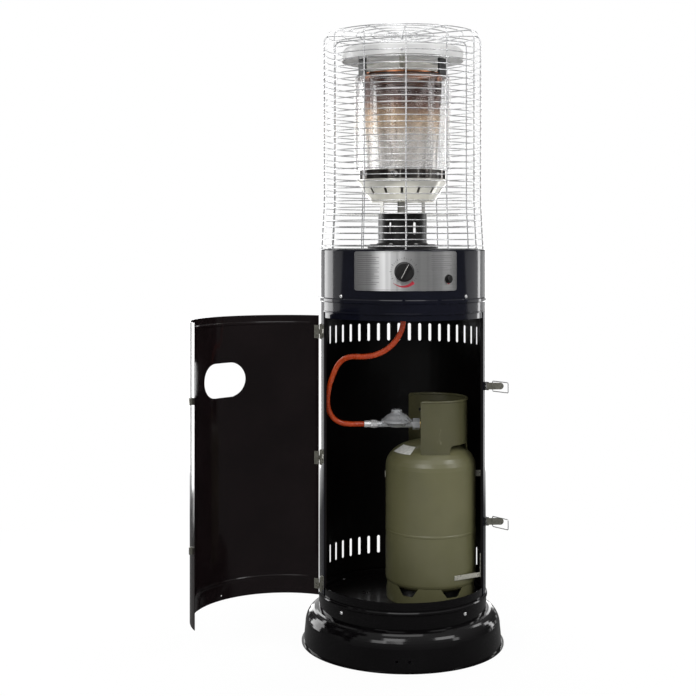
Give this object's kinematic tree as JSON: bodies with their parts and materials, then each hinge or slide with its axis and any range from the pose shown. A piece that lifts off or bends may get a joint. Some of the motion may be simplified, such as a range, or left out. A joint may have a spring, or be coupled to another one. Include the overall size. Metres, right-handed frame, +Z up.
{
  "type": "patio heater",
  "caption": "Tall cylindrical gas patio heater: wire guard round a glass and mesh emitter, control panel with knob and igniter, hinged cabinet door open on a gas bottle with regulator and hose.",
  "frame": {"origin": "centre of the round base, on the floor", "axes": "+Z up; the control panel and the door opening face -Y; +X is to the right seen from the front"},
  "size_m": [0.6788, 0.5558, 1.37],
  "materials": {
    "black_enamel": "gloss black enamel on pressed steel",
    "black_enamel_door": "gloss black enamel, thinner inside the door",
    "floor_paint": "satin black enamel",
    "deck_grey": "matt grey heat-proof paint",
    "hinge_steel": "nickel-plated pressed steel",
    "screw_steel": "bright zinc plate",
    "panel_steel": "brushed stainless steel, grain across",
    "black_plastic": "satin black heat-proof plastic",
    "brass": "machined brass",
    "zinc_bracket": "zinc-plated sheet",
    "white_switch": "matt white plastic",
    "pipe_metal": "drawn aluminium tube",
    "burner_black": "matt black heat-proof enamel",
    "burner_steel": "bright stainless steel",
    "emitter_steel": "perforated stainless steel, brown heat tint at the top",
    "glass": "clear borosilicate tube",
    "guard_wire": "bright nickel-chrome plated wire",
    "bottle_olive": "semi-gloss olive enamel",
    "zinc_cast": "dull die-cast zinc",
    "tag_white": "matt blank tag",
    "strap_steel": "dull plated strip",
    "hose_orange": "semi-gloss orange rubber hose"
  },
  "bodies": {
    "heater": {"base_shell": "black_enamel", "cabinet_floor": "floor_paint", "lower_collar": "black_enamel", "body_shell": "black_enamel", "jamb_left": "floor_paint", "jamb_right": "floor_paint", "upper_collar": "black_enamel", "control_housing": "black_enamel", "deck_plate": "deck_grey", "body_screws": "screw_steel", "hinge_leaves_body": "hinge_steel", "hinge_pins": "hinge_steel", "latch_brackets": "black_enamel", "control_panel": "panel_steel", "gas_control_valve": "brass", "valve_bracket": "zinc_bracket", "piezo_igniter": "black_plastic", "tilt_switch": "white_switch", "supply_pipe": "pipe_metal", "pilot_assembly": "zinc_bracket", "burner_base": "burner_black", "burner_chamber": "burner_black", "baffle_disc": "burner_steel", "bowl_brackets": "burner_steel", "bowl_floor": "burner_steel", "slotted_bowl": "burner_steel", "emitter_band": "burner_steel", "emitter_screen": "emitter_steel", "glass_tube": "glass", "reflector_posts": "burner_black", "inner_dish": "burner_steel", "top_reflector": "burner_steel", "burner_screws": "screw_steel", "guard_front": "guard_wire", "guard_right": "guard_wire", "guard_back": "guard_wire", "guard_left": "guard_wire", "guard_top": "guard_wire", "bottle_shell": "bottle_olive", "bottle_foot_ring": "bottle_olive", "bottle_collar": "bottle_olive", "bottle_valve": "brass", "bottle_tag": "tag_white", "bottle_strap": "strap_steel", "bottle_rear_band": "floor_paint", "regulator_body": "zinc_cast", "regulator_cover": "zinc_cast", "hose_fittings": "zinc_cast", "gas_hose": "hose_orange"},
    "door": {"door_panel": "black_enamel_door", "hinge_leaves_door": "hinge_steel", "door_catches": "hinge_steel"},
    "lever_upper": {"latch_lever_upper": "hinge_steel"},
    "lever_lower": {"latch_lever_lower": "hinge_steel"},
    "loop_upper": {"latch_loop_upper": "screw_steel"},
    "loop_lower": {"latch_loop_lower": "screw_steel"},
    "knob_stem": {"stem_collar": "brass"},
    "knob": {"control_knob": "black_plastic"},
    "igniter": {"igniter_button": "black_plastic"},
    "handwheel": {"valve_handwheel": "black_plastic"}
  },
  "joints": [
    {"name": "door_hinge", "type": "hinge", "parent": "heater", "child": "door", "pos_m": [-0.18312, -0.06847, 0.425], "axis": [0, 0, 1], "range_deg": [-40, 134]},
    {"name": "lever_upper_hinge", "type": "hinge", "parent": "heater", "child": "lever_upper", "pos_m": [0.18752, -0.05165, 0.58], "axis": [0, 0, -1], "range_deg": [-80, 60]},
    {"name": "loop_upper_hinge", "type": "hinge", "parent": "lever_upper", "child": "loop_upper", "pos_m": [0.19852, -0.05165, 0.58], "axis": [0, 0, 1], "range_deg": [-75, 140]},
    {"name": "lever_lower_hinge", "type": "hinge", "parent": "heater", "child": "lever_lower", "pos_m": [0.18752, -0.05165, 0.279], "axis": [0, 0, -1], "range_deg": [-80, 60]},
    {"name": "loop_lower_hinge", "type": "hinge", "parent": "lever_lower", "child": "loop_lower", "pos_m": [0.19852, -0.05165, 0.279], "axis": [0, 0, 1], "range_deg": [-75, 140]},
    {"name": "knob_push", "type": "slide", "parent": "heater", "child": "knob_stem", "axis": [0, 1, 0], "range_m": [0, 0.004], "stiffness_N_per_m": 600, "springref_m": -0.002},
    {"name": "knob_turn", "type": "hinge", "parent": "knob_stem", "child": "knob", "pos_m": [-0.0044, -0.19405, 0.838], "axis": [0, -1, 0], "range_deg": [0, 230]},
    {"name": "igniter_push", "type": "slide", "parent": "heater", "child": "igniter", "axis": [-0.4848, 0.8746, 0], "range_m": [0, 0.003], "stiffness_N_per_m": 600, "springref_m": -0.002},
    {"name": "handwheel_turn", "type": "hinge", "parent": "heater", "child": "handwheel", "pos_m": [0.064, 0, 0.52], "axis": [0, 0, 1], "range_deg": [0, 540]}
  ]
}
